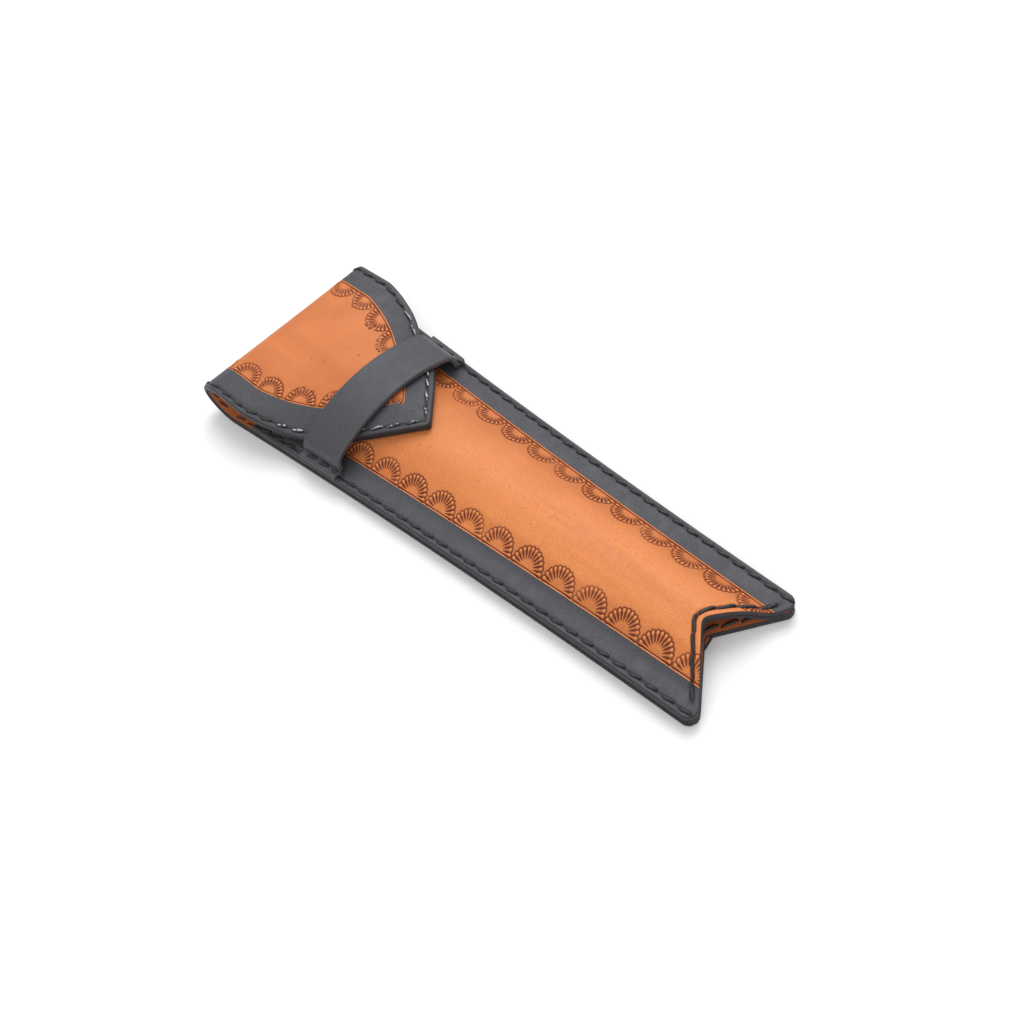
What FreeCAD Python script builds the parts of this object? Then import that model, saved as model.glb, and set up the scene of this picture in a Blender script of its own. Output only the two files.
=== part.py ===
import FreeCAD, Part
import math
import os

from FreeCAD import Vector

os.makedirs("parts", exist_ok=True)

# A soft leather sleeve for one fountain pen, lying on its back on the XY plane, in mm.
# X runs from the folded head to the forked tail, Z is up, and the case is even about Y = 0.

# Plan of the case
CASE_LENGTH = 168.0
FOLD_WIDTH = 56.6
TAIL_WIDTH = 39.6
SIDE_HOLLOW = 1.2
NOTCH_DEPTH = 14.4
NOTCH_RADIUS = 2.0
TIP_RADIUS = 2.6
MOUTH_SETBACK = 17.0

# Leather: every panel is an outer leather glued to a thinner lining
OUTER = 1.5
LINING = 0.9
GLUE = 0.05
PANEL = OUTER + GLUE + LINING

# Front of the pocket: a flat sewn margin, then a rise to a rounded crown
MARGIN = 5.0
POCKET_HEIGHT = 6.2
HOLLOW_SHARE = 0.35
FRONT_STEPS = 12

# Flap, from the nose of the fold to its point, arched where it goes under the keeper
FLAP_LENGTH = 65.4
FLAP_GAP = 0.45
CHEEK_INSET = 1.4
SHOULDER_INSET = 1.6
SHOULDER_LEAD = 8.0
FLAP_BULGE = 2.5
FLAP_TIP_RADIUS = 1.6
ARCH_EASE = 0.16
FLAP_STEPS = 14

# Keeper strap sewn across the front, a little flatter than the flap below it
STRAP_START = 37.2
STRAP_WIDTH = 13.6
STRAP = 1.6
STRAP_GAP = 0.6
STRAP_EASE = 3.5
STRAP_SHOULDER = 3.5
STRAP_INSTEP = 2.0
STRAP_FOOT = 1.8
STRAP_STEPS = 2

# Waxed thread: one short slug for each stitch that shows
STITCH_PITCH = 4.8
STITCH_LENGTH = 3.6
STITCH_WIDTH = 0.8
STITCH_HEIGHT = 0.3
STITCH_INSET = 1.2
STITCH_SLANT = 7.0
STITCH_SEAT = 0.05
STITCH_CLEAR = 0.2
FOLD_STITCHES = 4
NOTCH_STITCH_INSET = 2.3
MOUTH_STITCH_INSET = 1.6

# Bare leather left at the ends of each row of stitches
SIDE_SEAM_END = 3.4
NOTCH_SEAM_END = 4.2
NOTCH_SEAM_SHIFT = 1.6
MOUTH_SEAM_END = 2.0
FLAP_SEAM_END = 2.4

# Heights that follow from the layers
BACK_TOP = PANEL
CEILING = BACK_TOP + GLUE
BORDER_TOP = CEILING + PANEL
CROWN_TOP = BORDER_TOP + POCKET_HEIGHT
FLAP_BOTTOM = CROWN_TOP + FLAP_GAP
FLAP_TOP = FLAP_BOTTOM + PANEL
FOLD_RADIUS = FLAP_TOP / 2

# Stations along X
NOSE_X = -CASE_LENGTH / 2
FOLD_X = NOSE_X + FOLD_RADIUS
MOUTH_X = NOSE_X + MOUTH_SETBACK
POINT_X = NOSE_X + FLAP_LENGTH
STRAP_HEAD_X = NOSE_X + STRAP_START
STRAP_TAIL_X = STRAP_HEAD_X + STRAP_WIDTH
SHOULDER_X = STRAP_HEAD_X - SHOULDER_LEAD
CHEEK_X = (MOUTH_X + SHOULDER_X) / 2
NOTCH_ANGLE = math.atan2(TAIL_WIDTH / 2, NOTCH_DEPTH)
TIP_OVERHANG = TIP_RADIUS * (1 / math.tan(NOTCH_ANGLE / 2) - 1)
TAIL_X = CASE_LENGTH / 2 + TIP_OVERHANG
NOTCH_X = TAIL_X - NOTCH_DEPTH
TRIM = 1.0
TALL = 40.0


def side_circle():
    """Centre and radius of the hollow side of the case, on the +Y side of the plan."""
    head = Vector(FOLD_X, FOLD_WIDTH / 2, 0)
    tail = Vector(TAIL_X, TAIL_WIDTH / 2, 0)
    middle = (head + tail) * 0.5 - Vector(0, SIDE_HOLLOW, 0)
    circle = Part.Circle(head, middle, tail)
    return circle.Center, circle.Radius


SIDE_CENTRE, SIDE_RADIUS = side_circle()


def side_y(x, inset=0.0):
    """Half width of the case at x, moved in from the edge by inset."""
    reach = SIDE_RADIUS + inset
    return SIDE_CENTRE.y - math.sqrt(reach**2 - (x - SIDE_CENTRE.x) ** 2)


def flap_half(x):
    """Half width of the flap at x."""
    if x <= SHOULDER_X:
        return FOLD_WIDTH / 2
    t = (x - SHOULDER_X) / (POINT_X - SHOULDER_X)
    chord = (side_y(SHOULDER_X) - SHOULDER_INSET) * (1 - t)
    return max(chord, 0) + 5 * FLAP_BULGE * max(t * (1 - t), 0)


# The arch of the flap at the keeper leaves its edges just clear of the border
FLAP_DROP = FLAP_BOTTOM - BORDER_TOP - FLAP_GAP
FLAP_ARCH = (flap_half(STRAP_HEAD_X) ** 2 + FLAP_DROP**2) / (2 * FLAP_DROP)
STRAP_CROWN = FLAP_ARCH + PANEL + STRAP_EASE


def even_steps(start, end, count):
    return [start + (end - start) * i / count for i in range(count + 1)]


def line(p, q):
    return Part.makeLine(p, q)


def arc(p, q, r):
    return Part.Arc(p, q, r).toShape()


def prism(edges, low, high):
    """Upright solid on a closed run of plan edges."""
    face = Part.Face(Part.Wire(Part.__sortEdges__(edges)))
    solid = face.extrude(Vector(0, 0, high - low))
    solid.translate(Vector(0, 0, low))
    return solid


def round_corner(solid, x, y, radius):
    """Round the upright edge of a prism that stands at x, y."""
    here = [
        e
        for e in solid.Edges
        if all(abs(v.X - x) < 0.01 and abs(v.Y - y) < 0.01 for v in e.Vertexes)
    ]
    return solid.makeFillet(radius, here)


def case_plan(head_x, low, high):
    """The case in plan from head_x to the forked tail, as a prism."""
    head, tail = side_y(head_x), side_y(TAIL_X)
    middle_x = (head_x + TAIL_X) / 2
    middle = side_y(middle_x)
    notch = Vector(NOTCH_X, 0, 0)
    edges = [line(Vector(head_x, -head, 0), Vector(head_x, head, 0))]
    for s in (1, -1):
        tip = Vector(TAIL_X, s * tail, 0)
        edges.append(arc(Vector(head_x, s * head, 0), Vector(middle_x, s * middle, 0), tip))
        edges.append(line(tip, notch))
    solid = prism(edges, low, high)
    solid = round_corner(solid, NOTCH_X, 0, NOTCH_RADIUS)
    for s in (1, -1):
        solid = round_corner(solid, TAIL_X, s * tail, TIP_RADIUS)
    return solid


def dome_arcs(x):
    """Centres and radii of the hollow and the crown of the pocket ceiling at x."""
    rise = side_y(x) - MARGIN
    both = (rise**2 + POCKET_HEIGHT**2) / (2 * POCKET_HEIGHT)
    hollow = HOLLOW_SHARE * both
    crown = both - hollow
    hollow_at = Vector(x, rise, CEILING + hollow)
    crown_at = Vector(x, 0, CEILING + POCKET_HEIGHT - crown)
    return hollow_at, hollow, crown_at, crown


def mirrored(p):
    return Vector(p.x, -p.y, p.z)


def dome_curve(x, offset):
    """Points across the front at x, raised square to the ceiling by offset, from +Y to -Y."""
    hollow_at, hollow, crown_at, crown = dome_arcs(x)
    to_crown = (crown_at - hollow_at).normalize()
    join = hollow_at + to_crown * (hollow - offset)
    bisector = (to_crown + Vector(0, 0, -1)).normalize()
    middle = hollow_at + bisector * (hollow - offset)
    edge = Vector(x, side_y(x) + TRIM, CEILING + offset)
    foot = Vector(x, hollow_at.y, CEILING + offset)
    top = Vector(x, 0, crown_at.z + crown + offset)
    return [edge, foot, middle, join, top] + [mirrored(p) for p in (join, middle, foot, edge)]


def dome_edges(points):
    edge, foot, middle, join, top, join_b, middle_b, foot_b, edge_b = points
    return [
        line(edge, foot),
        arc(foot, middle, join),
        arc(join, top, join_b),
        arc(join_b, middle_b, foot_b),
        line(foot_b, edge_b),
    ]


def front_layer(low, high):
    """One layer of the domed front, between two heights above the pocket ceiling."""
    wires = []
    for x in even_steps(MOUTH_X - TRIM, TAIL_X + TRIM, FRONT_STEPS):
        under, over = dome_curve(x, low), dome_curve(x, high)
        edges = dome_edges(under) + [line(under[-1], over[-1])]
        edges += list(reversed(dome_edges(over))) + [line(over[0], under[0])]
        wires.append(Part.Wire(edges))
    sheet = Part.makeLoft(wires, True, True)
    return sheet.common(case_plan(MOUTH_X, 0, TALL))


def back_layer(low, high):
    return case_plan(FOLD_X, low, high)


def fold_layer(low, high):
    """One layer of the half-round bend that joins the back to the flap."""
    outer, inner = FOLD_RADIUS - low, FOLD_RADIUS - high
    y = -FOLD_WIDTH / 2

    def at(r, angle):
        turn = math.radians(angle)
        return Vector(FOLD_X - r * math.sin(turn), y, FOLD_RADIUS - r * math.cos(turn))

    edges = [
        arc(at(outer, 0), at(outer, 90), at(outer, 180)),
        line(at(outer, 180), at(inner, 180)),
        arc(at(inner, 180), at(inner, 90), at(inner, 0)),
        line(at(inner, 0), at(outer, 0)),
    ]
    return Part.Face(Part.Wire(edges)).extrude(Vector(0, FOLD_WIDTH, 0))


def flap_plan():
    """The flap in plan: straight at the fold, rounded shoulders, bowed sides to the point."""
    root = FOLD_WIDTH / 2
    point = Vector(POINT_X, 0, 0)
    edges = [line(Vector(FOLD_X, -root, 0), Vector(FOLD_X, root, 0))]
    for s in (1, -1):
        a = Vector(MOUTH_X, s * root, 0)
        b = Vector(CHEEK_X, s * (root - CHEEK_INSET), 0)
        c = Vector(SHOULDER_X, s * (side_y(SHOULDER_X) - SHOULDER_INSET), 0)
        run = point - c
        outward = Vector(abs(run.y), s * run.x, 0).normalize()
        edges.append(line(Vector(FOLD_X, s * root, 0), a))
        edges.append(arc(a, b, c))
        edges.append(arc(c, (c + point) * 0.5 + outward * FLAP_BULGE, point))
    solid = prism(edges, 0, TALL)
    return round_corner(solid, POINT_X, 0, FLAP_TIP_RADIUS)


def arch_share(x):
    """Share of the full arch that the flap has at x: none at the fold, all at the keeper."""
    t = (x - FOLD_X) / (STRAP_HEAD_X - FOLD_X)
    if t <= 1:
        return t**2
    return 1 + ARCH_EASE * (1 - math.exp(-2 * (t - 1) / ARCH_EASE))


def flap_run(x, lift):
    """The flap's cross line at x, raised by lift, with its ends past the edges of the flap."""
    y = flap_half(x) + TRIM
    z = FLAP_BOTTOM + lift
    share = arch_share(x)
    if share == 0:
        left, right = Vector(x, -y, z), Vector(x, y, z)
        return left, right, line(left, right)
    r = FLAP_ARCH / share + lift
    drop = r - math.sqrt(r**2 - y**2)
    left, right = Vector(x, -y, z - drop), Vector(x, y, z - drop)
    return left, right, arc(left, Vector(x, 0, z), right)


def flap_section(x, low, high):
    """Closed profile of one flap layer at x."""
    left_low, right_low, under = flap_run(x, low)
    left_high, right_high, over = flap_run(x, high)
    edges = [under, line(right_low, right_high), over, line(left_high, left_low)]
    return Part.Wire(Part.__sortEdges__(edges))


def flap_layer(low, high):
    """One layer of the flap, flat at the fold and arched from the keeper to the point."""
    stations = even_steps(FOLD_X, POINT_X + TRIM, FLAP_STEPS)
    wires = [flap_section(x, low, high) for x in stations]
    sheet = Part.makeLoft(wires, True, True)
    return sheet.common(flap_plan())


def strap_profile(x):
    """Closed profile of the keeper at x: feet on the border, insteps, shoulders, crown."""
    seat = BORDER_TOP + GLUE
    crown_z = FLAP_TOP + STRAP_GAP - STRAP_CROWN
    foot_y = side_y(x) - STRAP_FOOT
    instep_at = Vector(x, foot_y, seat + STRAP_INSTEP)
    crown_at = Vector(x, 0, crown_z)
    # the shoulder circle touches the crown from inside and the instep from outside
    near = STRAP_CROWN - STRAP_SHOULDER
    far = STRAP_SHOULDER + STRAP_INSTEP
    gap = instep_at - crown_at
    along = (gap.Length**2 + near**2 - far**2) / (2 * gap.Length)
    across = math.sqrt(near**2 - along**2)
    u = Vector(gap).normalize()
    shoulder_at = crown_at + u * along + Vector(0, -u.z, u.y) * across

    to_shoulder = (shoulder_at - instep_at).normalize()
    from_crown = (shoulder_at - crown_at).normalize()
    instep_mid = (to_shoulder + Vector(0, 0, -1)).normalize()
    shoulder_mid = (from_crown - to_shoulder).normalize()

    def run(lift):
        end = Vector(x, side_y(x) + TRIM, seat + lift)
        foot = Vector(x, foot_y, seat + lift)
        bend = instep_at + instep_mid * (STRAP_INSTEP - lift)
        wall = instep_at + to_shoulder * (STRAP_INSTEP - lift)
        turn = shoulder_at + shoulder_mid * (STRAP_SHOULDER + lift)
        brow = shoulder_at + from_crown * (STRAP_SHOULDER + lift)
        top = Vector(x, 0, crown_z + STRAP_CROWN + lift)
        half = [end, foot, bend, wall, turn, brow]
        return half, top

    def edges(lift):
        half, top = run(lift)
        end, foot, bend, wall, turn, brow = half
        end_b, foot_b, bend_b, wall_b, turn_b, brow_b = [mirrored(p) for p in half]
        return [
            line(end, foot),
            arc(foot, bend, wall),
            arc(wall, turn, brow),
            arc(brow, top, brow_b),
            arc(brow_b, turn_b, wall_b),
            arc(wall_b, bend_b, foot_b),
            line(foot_b, end_b),
        ]

    low_end, high_end = run(0)[0][0], run(STRAP)[0][0]
    return Part.Wire(
        edges(0)
        + [line(mirrored(low_end), mirrored(high_end))]
        + list(reversed(edges(STRAP)))
        + [line(high_end, low_end)]
    )


def keeper():
    wires = [strap_profile(x) for x in even_steps(STRAP_HEAD_X, STRAP_TAIL_X, STRAP_STEPS)]
    band = Part.makeLoft(wires, True, True)
    return band.common(case_plan(FOLD_X, 0, TALL))


def stitch(at, along, up):
    """One stitch lying on a face at a point, with its flat side down."""
    up = Vector(up).normalize()
    along = (along - up * along.dot(up)).normalize()
    turn = FreeCAD.Rotation(up, STITCH_SLANT)
    along = turn.multVec(along)
    side = up.cross(along)
    outline = [(-0.5, 0), (0.5, 0), (0.3, 1), (-0.3, 1)]
    start = at - along * (STITCH_LENGTH / 2)
    points = [
        start + side * (a * STITCH_WIDTH) + up * (STITCH_SEAT + b * STITCH_HEIGHT)
        for a, b in outline
    ]
    face = Part.Face(Part.makePolygon(points + points[:1]))
    return face.extrude(along * STITCH_LENGTH)


def spaced(length, ends):
    """Stitch positions along a run, kept clear of both ends."""
    count = int((length - 2 * ends) // STITCH_PITCH) + 1
    first = (length - (count - 1) * STITCH_PITCH) / 2
    return [first + i * STITCH_PITCH for i in range(count)]


def side_thread(s):
    """Stitches of one side seam, lifted over the foot of the keeper."""
    made = []
    for d in spaced(TAIL_X - MOUTH_X, SIDE_SEAM_END):
        x = MOUTH_X + d
        y = side_y(x, STITCH_INSET)
        half = STITCH_LENGTH / 2
        z = BORDER_TOP
        if STRAP_HEAD_X - half < x < STRAP_TAIL_X + half:
            z = BORDER_TOP + GLUE + STRAP
            x = max(x, STRAP_HEAD_X + half + STITCH_CLEAR)
            x = min(x, STRAP_TAIL_X - half - STITCH_CLEAR)
            y = side_y(x, STITCH_INSET)
        ahead = Vector(1, side_y(x + 1, STITCH_INSET) - y, 0)
        ahead.y *= s
        made.append(stitch(Vector(x, s * y, z), ahead, Vector(0, 0, 1)))
    return Part.makeCompound(made)


def height_on(solid, x, y):
    """Height of the upper face of a solid above a point of the plan."""
    hits = solid.common(Part.makeLine(Vector(x, y, -1), Vector(x, y, TALL)))
    return max(v.Z for v in hits.Vertexes)


def seat_stitch(solid, x, y, ahead):
    """A stitch lying on the upper face of a solid, bridging a hollow and riding on a bulge."""
    ahead = Vector(ahead.x, ahead.y, 0).normalize()
    across = Vector(-ahead.y, ahead.x, 0)

    def spot(along, aside):
        p = Vector(x, y, 0) + ahead * along + across * aside
        return Vector(p.x, p.y, height_on(solid, p.x, p.y))

    half = STITCH_LENGTH / 2
    side = STITCH_WIDTH / 2
    first, last = spot(-half, 0), spot(half, 0)
    up = (last - first).cross(spot(0, side) - spot(0, -side))
    middle = spot(0, 0)
    middle.z = max(middle.z, (first.z + last.z) / 2)
    return stitch(middle, last - first, up)


def run_thread(solid, wire, ends):
    """Stitches spaced along a plan wire, each lying on the upper face of a solid."""
    made = []
    for d in spaced(wire.Length, ends):
        edge, before = next_edge(wire, d)
        u = edge.getParameterByLength(d - before)
        at = edge.valueAt(u)
        made.append(seat_stitch(solid, at.x, at.y, edge.tangentAt(u)))
    return Part.makeCompound(made)


def next_edge(wire, distance):
    """The edge of a wire that holds a distance along it, and the length before that edge."""
    before = 0.0
    for edge in wire.OrderedEdges:
        if before + edge.Length >= distance:
            return edge, before
        before += edge.Length
    return wire.OrderedEdges[-1], before - wire.OrderedEdges[-1].Length


def notch_thread(solid, s, reach):
    """Stitches along one arm of the forked tail, out to a reach from the centre line."""
    arm = Vector(TAIL_X - NOTCH_X, s * TAIL_WIDTH / 2, 0)
    length = arm.Length
    ahead = arm.normalize()
    inward = Vector(-ahead.y * s, ahead.x * s, 0)
    start = Vector(NOTCH_X, 0, 0) + inward * NOTCH_STITCH_INSET
    spots = [start + ahead * (d - NOTCH_SEAM_SHIFT) for d in spaced(length, NOTCH_SEAM_END)]
    return [seat_stitch(solid, p.x, p.y, ahead) for p in spots if abs(p.y) < reach]


def tail_thread(solid, reach):
    return Part.makeCompound(notch_thread(solid, 1, reach) + notch_thread(solid, -1, reach))


def mouth_thread():
    """Stitches along the mouth of the front, from one side seam to the other."""
    x = MOUTH_X + MOUTH_STITCH_INSET
    y = side_y(x) - MARGIN
    wire = Part.Wire([line(Vector(x, -y, 0), Vector(x, y, 0))])
    return run_thread(front_panel, wire, MOUTH_SEAM_END)


def flap_thread():
    """Stitches round the edge of the flap, from the fold to the point and back."""
    outline = min(flap_plan().Faces, key=lambda face: face.CenterOfMass.z)
    inner = outline.makeOffset2D(-STITCH_INSET).OuterWire
    made = []
    for s in (1, -1):
        edges = [
            e
            for e in inner.Edges
            if s * e.valueAt((e.FirstParameter + e.LastParameter) / 2).y > 0.5
        ]
        wire = Part.Wire(Part.__sortEdges__(edges))
        made += run_thread(flap_panel, wire, FLAP_SEAM_END).Solids
    return Part.makeCompound(made)


def fold_thread():
    """Stitches round both ends of the bend, clear of the table."""
    step = STITCH_PITCH / FOLD_RADIUS
    y = FOLD_WIDTH / 2 - STITCH_INSET
    turns = [math.pi - step * (i + 0.5) for i in range(FOLD_STITCHES)]
    return Part.makeCompound([bent_stitch(s * y, turn) for s in (1, -1) for turn in turns])


def bent_stitch(y, turn):
    """A short arc of thread on the outer face of the bend, at an angle from its underside."""
    spread = STITCH_LENGTH / 2 / FOLD_RADIUS
    inner = FOLD_RADIUS + STITCH_SEAT
    outer = inner + STITCH_HEIGHT
    shoulder = 0.8 * spread

    def on(r, ahead):
        angle = turn + ahead
        x = FOLD_X - r * math.sin(angle)
        return Vector(x, y - STITCH_WIDTH / 2, FOLD_RADIUS - r * math.cos(angle))

    edges = [
        arc(on(inner, -spread), on(inner, 0), on(inner, spread)),
        line(on(inner, spread), on(outer, shoulder)),
        arc(on(outer, shoulder), on(outer, 0), on(outer, -shoulder)),
        line(on(outer, -shoulder), on(inner, -spread)),
    ]
    return Part.Face(Part.Wire(edges)).extrude(Vector(0, STITCH_WIDTH, 0))


def save(name, shape):
    shape.exportStep(f"parts/{name}.step")


back_panel = back_layer(0, OUTER)
back_lining = back_layer(OUTER + GLUE, PANEL)
front_lining = front_layer(0, LINING)
front_panel = front_layer(LINING + GLUE, PANEL)
flap_lining = flap_layer(0, LINING)
flap_panel = flap_layer(LINING + GLUE, PANEL)

save("back_panel", back_panel)
save("back_lining", back_lining)
save("front_panel", front_panel)
save("front_lining", front_lining)
save("fold_panel", fold_layer(0, OUTER))
save("fold_lining", fold_layer(OUTER + GLUE, PANEL))
save("flap_panel", flap_panel)
save("flap_lining", flap_lining)
save("keeper_strap", keeper())
save("left_seam_thread", side_thread(1))
save("right_seam_thread", side_thread(-1))
save("front_tail_thread", tail_thread(front_panel, TAIL_WIDTH / 2))
save("back_tail_thread", tail_thread(back_lining, TAIL_WIDTH / 2 - MARGIN - 2 * STITCH_LENGTH))
save("mouth_thread", mouth_thread())
save("flap_thread", flap_thread())
save("fold_thread", fold_thread())
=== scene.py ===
import math

import bpy
import numpy as np
from mathutils import Matrix, Vector


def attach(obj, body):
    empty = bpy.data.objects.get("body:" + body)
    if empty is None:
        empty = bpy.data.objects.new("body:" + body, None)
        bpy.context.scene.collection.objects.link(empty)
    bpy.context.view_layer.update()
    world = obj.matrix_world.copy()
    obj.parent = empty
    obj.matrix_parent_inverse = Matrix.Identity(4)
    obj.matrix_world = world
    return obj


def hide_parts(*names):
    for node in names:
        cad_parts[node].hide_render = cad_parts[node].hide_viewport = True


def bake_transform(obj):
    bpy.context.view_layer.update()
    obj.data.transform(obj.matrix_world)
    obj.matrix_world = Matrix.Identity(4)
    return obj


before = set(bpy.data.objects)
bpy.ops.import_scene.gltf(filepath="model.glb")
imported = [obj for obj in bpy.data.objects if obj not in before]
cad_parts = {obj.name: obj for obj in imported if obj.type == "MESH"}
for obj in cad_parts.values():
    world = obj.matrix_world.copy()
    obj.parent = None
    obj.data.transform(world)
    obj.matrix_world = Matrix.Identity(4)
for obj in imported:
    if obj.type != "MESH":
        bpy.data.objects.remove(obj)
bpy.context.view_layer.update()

# Lengths are in mm, in the frame of the part, and become metres when a mesh is made
MM = 0.001

# The case, as it is built
CASE_LENGTH = 168.0
FOLD_WIDTH = 56.6
TAIL_WIDTH = 39.6
SIDE_HOLLOW = 1.2
NOTCH_DEPTH = 14.4
NOTCH_RADIUS = 2.0
TIP_RADIUS = 2.6
MOUTH_SETBACK = 17.0
OUTER = 1.5
LINING = 0.9
GLUE = 0.05
PANEL = OUTER + GLUE + LINING
MARGIN = 5.0
POCKET_HEIGHT = 6.2
HOLLOW_SHARE = 0.35
FLAP_LENGTH = 65.4
FLAP_GAP = 0.45
CHEEK_INSET = 1.4
SHOULDER_INSET = 1.6
SHOULDER_LEAD = 8.0
FLAP_BULGE = 2.5
FLAP_TIP_RADIUS = 1.6
ARCH_EASE = 0.16
ARCH_LEAST = 0.02
STRAP_START = 37.2
STRAP_WIDTH = 13.6
STRAP = 1.6
STRAP_GAP = 0.6
STRAP_EASE = 3.5
STRAP_SHOULDER = 3.5
STRAP_INSTEP = 2.0
STRAP_FOOT = 1.8
STRAP_END_INSET = 0.1

CEILING = PANEL + GLUE
BORDER_TOP = CEILING + PANEL
FLAP_BOTTOM = BORDER_TOP + POCKET_HEIGHT + FLAP_GAP
FLAP_TOP = FLAP_BOTTOM + PANEL
FOLD_RADIUS = FLAP_TOP / 2
NOSE_X = -CASE_LENGTH / 2
FOLD_X = NOSE_X + FOLD_RADIUS
MOUTH_X = NOSE_X + MOUTH_SETBACK
POINT_X = NOSE_X + FLAP_LENGTH
STRAP_HEAD_X = NOSE_X + STRAP_START
STRAP_TAIL_X = STRAP_HEAD_X + STRAP_WIDTH
SHOULDER_X = STRAP_HEAD_X - SHOULDER_LEAD
CHEEK_X = (MOUTH_X + SHOULDER_X) / 2
NOTCH_ANGLE = math.atan2(TAIL_WIDTH / 2, NOTCH_DEPTH)
TAIL_X = CASE_LENGTH / 2 + TIP_RADIUS * (1 / math.tan(NOTCH_ANGLE / 2) - 1)
NOTCH_X = TAIL_X - NOTCH_DEPTH

# Finish: dyed borders, a knife line and a lip where the dye stops, painted and worn leather, with a
# painted sheen on the worn crown
BORDER = 6.95
FLAP_BORDER = 7.5
TAN_SHIFT = 0.65
POINT_SOFT = 1.5
KNIFE_SET = 0.45
KNIFE_WIDTH = 0.16
KNIFE_DEPTH = 0.3
LIP_SET = 0.16
LIP_SHARE = 0.2
EDGE_ROUND = 0.6
EDGE_PAINT = (0.1, 0.35)
SEAM_PAINT = 0.45
# Width and share of the pale band along the front's crown: wear, and a painted sheen
WEAR_AND_SHEEN_WIDTH = 11.0
WEAR_AND_SHEEN_SHARE = 0.65
LINING_INSET = 0.2
LINING_EASE = 3.0
LINING_ROUND = 0.3
STRAP_ROUND = 0.35
STRAP_PALE = (0.02, 0.25)

# Shell stamps: ribs that spread from a foot and end in knobs, under a scalloped rim
STAMP_DEPTH = 0.42
STAMP_BAND = 5.8
SHELL_FOOT = 0.45
SHELL_RIBS = 12
SHELL_FIRST_RIB = math.radians(7)
SHELL_RIB_START = (1.2, 2.7)
SHELL_RIB_HALF = 0.15
SHELL_WALL = (-0.06, 0.1)
SHELL_KNOB = 4.25
SHELL_KNOB_LENGTH = 0.4
SHELL_KNOB_SWELL = 0.2
SHELL_GROOVE_END = (0.1, 0.35)
SHELL_LOBE = 0.62
SHELL_RIM = 0.17
SHELL_RIM_FADE = 0.3
SHELL_BEAD = 0.4
SHELL_BEAD_RISE = 0.45
PRESS_FALL = 0.25
PRESS_FALL_TURN = 1.7
PRESS_TILT = 0.3
PRESS_TILT_TURN = 2.4

# Sewn rows: the thread's radius, how deep it lies, and how far in from edges and ends
SEAM_INSET = 1.5
SEAM_GROOVE = 0.25
SEAM_GROOVE_WIDTH = 0.42
STITCH_PITCH = 4.8
STITCH_LENGTH = 3.8
THREAD = 0.42
UNDER_THREAD = 0.26
UNDER_SINK = 0.36
STRAP_SINK = 0.1
SIDE_ROW_END = 3.4
FLAP_ROW_END = 2.4
NOTCH_INSET = 1.9
NOTCH_THREAD = 0.42
NOTCH_SINK = 0.3
NOTCH_GROOVE_WIDTH = 0.5
NOTCH_GROOVE_LEAST = 0.05
NOTCH_SIDE_CLEAR = 1.0
NOTCH_ROW_STOP = 6.2
NOTCH_OVERLAP = 0.4
BACK_ROW_SHARE = 0.7
MOUTH_INSET = 1.6
MOUTH_THREAD = 0.3
MOUTH_SINK = 0.3
MOUTH_ROW_END = 2.0

# How the soft case departs from an even shape: the fold leans, and the flap is fuller at +Y
FOLD_SKEW = 0.075
FOLD_LEAN = 0.4
FLAP_SPREAD = 1.9
FOLD_SPREAD = 0.45
SPREAD_FROM = 16.0
SPREAD_DIP = 0.75
SPREAD_DIP_WIDTH = 5.0

# Points of the meshes: their spacing, their number, and rounds of working out a place
FINE = 0.2
COARSE = 0.9
BACK_STEP = 3 * FINE
BORDER_STEP = 0.8
LINE_STEP = 0.15
LINE_BEFORE = 0.15
LINE_AFTER = 0.9
TIGHT = 0.02
POINT_CUT = 0.003
INNER_COLUMNS = 15
FLAP_COLUMNS = 40
FOLD_COLUMNS = 24
FOLD_LEAST_ROWS = 6
FACE_THIN = 5
FOLD_THIN = 4
TIP_ROUNDS = 40
TAIL_ROUNDS = 30

# Further than any distance on the case
FAR = 99.0


def circle_through(p, q, r):
    """Centre and radius of the plane circle through three points."""
    (ax, ay), (bx, by), (cx, cy) = p, q, r
    d = 2 * (ax * (by - cy) + bx * (cy - ay) + cx * (ay - by))
    a, b, c = ax**2 + ay**2, bx**2 + by**2, cx**2 + cy**2
    x = (a * (by - cy) + b * (cy - ay) + c * (ay - by)) / d
    y = (a * (cx - bx) + b * (ax - cx) + c * (bx - ax)) / d
    return np.array([x, y]), math.hypot(ax - x, ay - y)


HEAD_HALF, TAIL_HALF = FOLD_WIDTH / 2, TAIL_WIDTH / 2
MIDDLE = ((FOLD_X + TAIL_X) / 2, (HEAD_HALF + TAIL_HALF) / 2 - SIDE_HOLLOW)
SIDE_AT, SIDE_R = circle_through((FOLD_X, HEAD_HALF), MIDDLE, (TAIL_X, TAIL_HALF))


def side_y(x, inset=0.0):
    """Half width of the case at x, moved in from the edge."""
    return SIDE_AT[1] - np.sqrt((SIDE_R + inset) ** 2 - (x - SIDE_AT[0]) ** 2)


def side_gap(x, y):
    """Distance in from the side edge of the case."""
    return np.hypot(x - SIDE_AT[0], np.abs(y) - SIDE_AT[1]) - SIDE_R


def smooth(low, high, value):
    """A smooth step from 0 at low to 1 at high."""
    t = np.clip((value - low) / (high - low), 0, 1)
    return t * t * (3 - 2 * t)


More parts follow.
